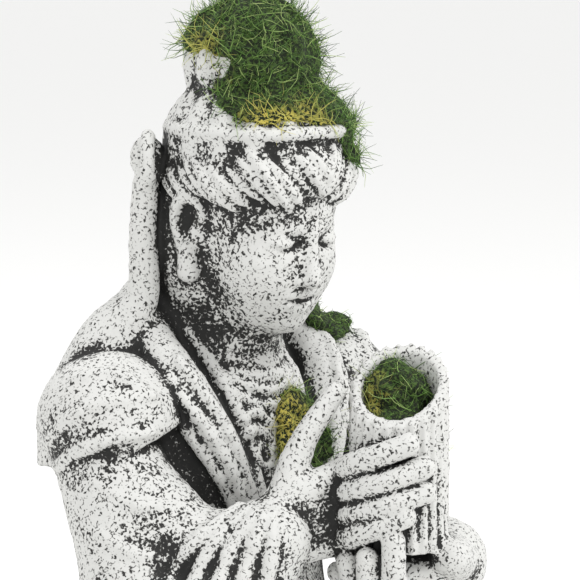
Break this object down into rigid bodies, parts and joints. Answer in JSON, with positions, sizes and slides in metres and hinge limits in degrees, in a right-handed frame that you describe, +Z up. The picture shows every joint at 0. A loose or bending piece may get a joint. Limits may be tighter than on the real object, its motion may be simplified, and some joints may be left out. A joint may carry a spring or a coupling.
{
  "type": "bodhisattva figure ornament",
  "caption": "Seated robed bodhisattva with veil, topknot and twisted hair band, holding a fluted cup, on a low oval base, with moss tufts on head, chest, shoulder and cup.",
  "frame": {"origin": "middle of the underside of the oval base", "axes": "+Z up, the figure faces -Y, and its left hand is towards +X"},
  "size_m": [0.1159, 0.0977, 0.1848],
  "materials": {
    "weathered_resin": "matt, cast with a pitted grey stone look, black in its hollows and pale on its ridges",
    "moss": "matt fibrous green, yellow in places"
  },
  "bodies": {
    "root": {"figure": "weathered_resin", "moss_on_head": "moss", "moss_on_chest": "moss", "moss_on_shoulder": "moss", "moss_in_cup": "moss"}
  },
  "joints": []
}
